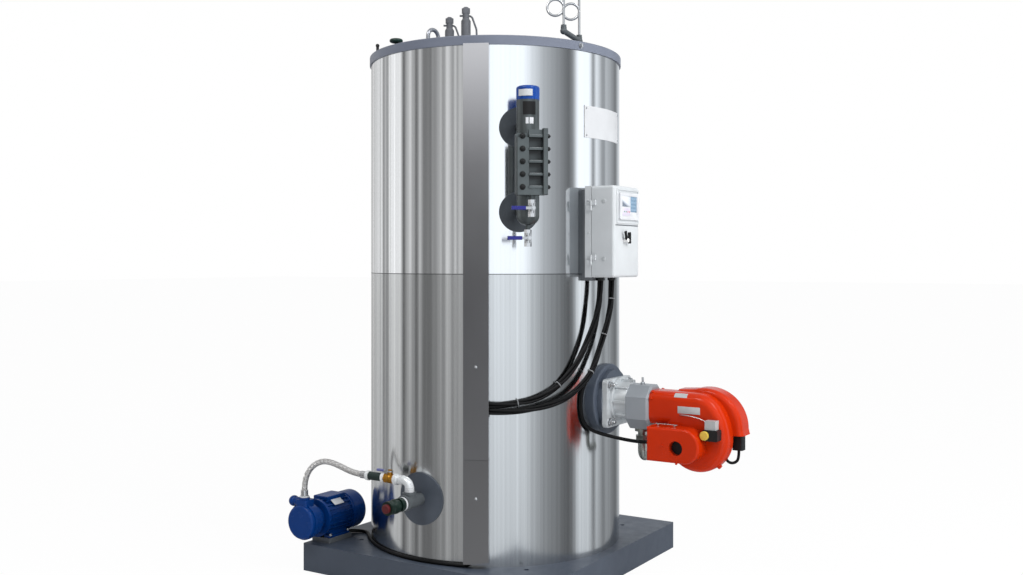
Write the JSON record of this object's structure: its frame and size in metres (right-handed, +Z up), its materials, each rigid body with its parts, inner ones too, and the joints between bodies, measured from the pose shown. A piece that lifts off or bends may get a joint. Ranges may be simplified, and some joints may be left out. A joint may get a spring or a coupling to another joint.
{
  "type": "industrial boiler",
  "caption": "Upright fired steam boiler with polished cladding, burner, control cabinet, level gauge, feed pump and top safety fittings on a square base.",
  "frame": {"origin": "centre of the base's underside, under the boiler's axis", "axes": "+Z up, +X along the burner's axis, -Y towards the feed water inlet"},
  "size_m": [1.726, 1.323, 2.492],
  "materials": {
    "black_plastic": "black moulded plastic",
    "block_grey": "grey paint",
    "blowdown_green": "green enamel",
    "bracket_paint": "mid grey powder coat",
    "brass": "cast brass",
    "brushed_stainless": "vertical brushed stainless sheet",
    "burner_orange": "orange red enamel",
    "cabinet_paint": "light grey powder coat",
    "cable_black": "black sheath",
    "cap_blue": "blue moulded cap",
    "cap_paint": "blue grey enamel",
    "cast_aluminium": "sand cast",
    "column_enamel": "dark grey green enamel",
    "dark_enamel": "dark grey enamel",
    "dial_yellow": "yellow dial",
    "display_grey": "grey display bezel",
    "gas_zinc": "zinc plated pipe",
    "gauge_glass": "ribbed glass",
    "hose_braid": "woven stainless braid",
    "lever_blue": "blue sleeve",
    "plug_red": "red plug",
    "polished_stainless": "mirror polished stainless sheet",
    "pump_blue": "blue enamel",
    "slate_paint": "satin slate grey paint",
    "steel_pipe": "bright pipe and fittings",
    "tee_grey": "grey painted casting",
    "valve_grey": "grey cast finish",
    "vent_green": "dark green enamel",
    "white_plate": "white plate"
  },
  "bodies": {
    "boiler": {"air_box": "burner_orange", "air_plug": "black_plastic", "air_switch": "black_plastic", "base_frame": "slate_paint", "blowdown_plug": "plug_red", "blowdown_valve": "blowdown_green", "burner_block": "block_grey", "burner_body": "burner_orange", "burner_collar": "slate_paint", "burner_flange": "cast_aluminium", "burner_hood": "burner_orange", "burner_lead": "cable_black", "burner_plug": "black_plastic", "cabinet_body": "cabinet_paint", "cabinet_bracket": "bracket_paint", "cabinet_glands": "black_plastic", "check_valve": "tee_grey", "column_cap": "cap_blue", "fan_cover": "pump_blue", "feed_elbow": "steel_pipe", "feed_hose": "hose_braid", "feed_tee": "tee_grey", "feed_valve": "brass", "flue_collar": "dark_enamel", "gas_inlet": "gas_zinc", "gauge_body": "column_enamel", "gauge_cocks": "steel_pipe", "gauge_cover": "column_enamel", "gauge_glass": "gauge_glass", "harness_left": "cable_black", "harness_right": "cable_black", "level_column": "column_enamel", "lifting_lugs": "dark_enamel", "lower_cladding": "brushed_stainless", "name_plate": "white_plate", "plug_lead": "cable_black", "pressure_gauge": "black_plastic", "pressure_switch": "bracket_paint", "pump_head": "pump_blue", "pump_lead": "cable_black", "pump_motor": "pump_blue", "pump_pedestal": "bracket_paint", "rosettes": "dark_enamel", "safety_valves": "valve_grey", "siphon_manifold": "tee_grey", "siphon_tubes": "steel_pipe", "steam_outlet": "dark_enamel", "switch_dial": "dial_yellow", "terminal_box": "pump_blue", "top_cap": "cap_paint", "trunking_lower": "brushed_stainless", "trunking_upper": "brushed_stainless", "upper_cladding": "polished_stainless", "vent_valve": "vent_green"},
    "door": {"cabinet_door": "cabinet_paint", "cabinet_display": "display_grey", "cabinet_lock": "black_plastic"},
    "gauge_handle": {"gauge_lever": "lever_blue"},
    "drain_handle": {"drain_lever": "lever_blue"},
    "feed_handle": {"feed_lever": "lever_blue"}
  },
  "joints": [
    {"name": "cabinet_door_hinge", "type": "hinge", "parent": "boiler", "child": "door", "pos_m": [0.574, -0.205, 1.3915], "axis": [0, 0, -1], "range_deg": [0, 110]},
    {"name": "gauge_lever_turn", "type": "hinge", "parent": "boiler", "child": "gauge_handle", "pos_m": [0.52114, -0.55593, 1.468], "axis": [0.682, -0.7314, 0], "range_deg": [0, 90]},
    {"name": "drain_lever_turn", "type": "hinge", "parent": "boiler", "child": "drain_handle", "pos_m": [0.4774, -0.51195, 1.362], "axis": [0.682, -0.7314, 0], "range_deg": [0, 90]},
    {"name": "feed_lever_turn", "type": "hinge", "parent": "boiler", "child": "feed_handle", "pos_m": [-0.095, -0.6, 0.436], "axis": [0, 0, 1], "range_deg": [0, 90]}
  ]
}
